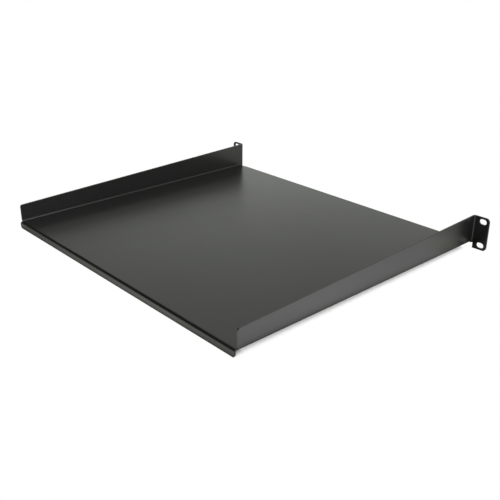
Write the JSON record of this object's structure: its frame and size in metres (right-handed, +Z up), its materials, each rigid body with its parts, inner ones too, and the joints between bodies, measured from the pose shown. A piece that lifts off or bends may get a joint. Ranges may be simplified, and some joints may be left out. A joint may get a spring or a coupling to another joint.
{
  "type": "cantilever rack shelf",
  "caption": "Shallow folded steel tray with tapering side walls and slotted front ears, carried as a cantilever by the front posts of an equipment rack.",
  "frame": {"origin": "centre of the four mounting slots, on the rear faces of the ears, where they meet the rack's posts", "axes": "+X across the rack, +Y from the ears back into the rack, +Z up"},
  "size_m": [0.4826, 0.402, 0.0436],
  "materials": {
    "powder_coat": "black powder coat, satin, with a very fine orange-peel texture"
  },
  "bodies": {
    "root": {"shelf": "powder_coat"}
  },
  "joints": []
}
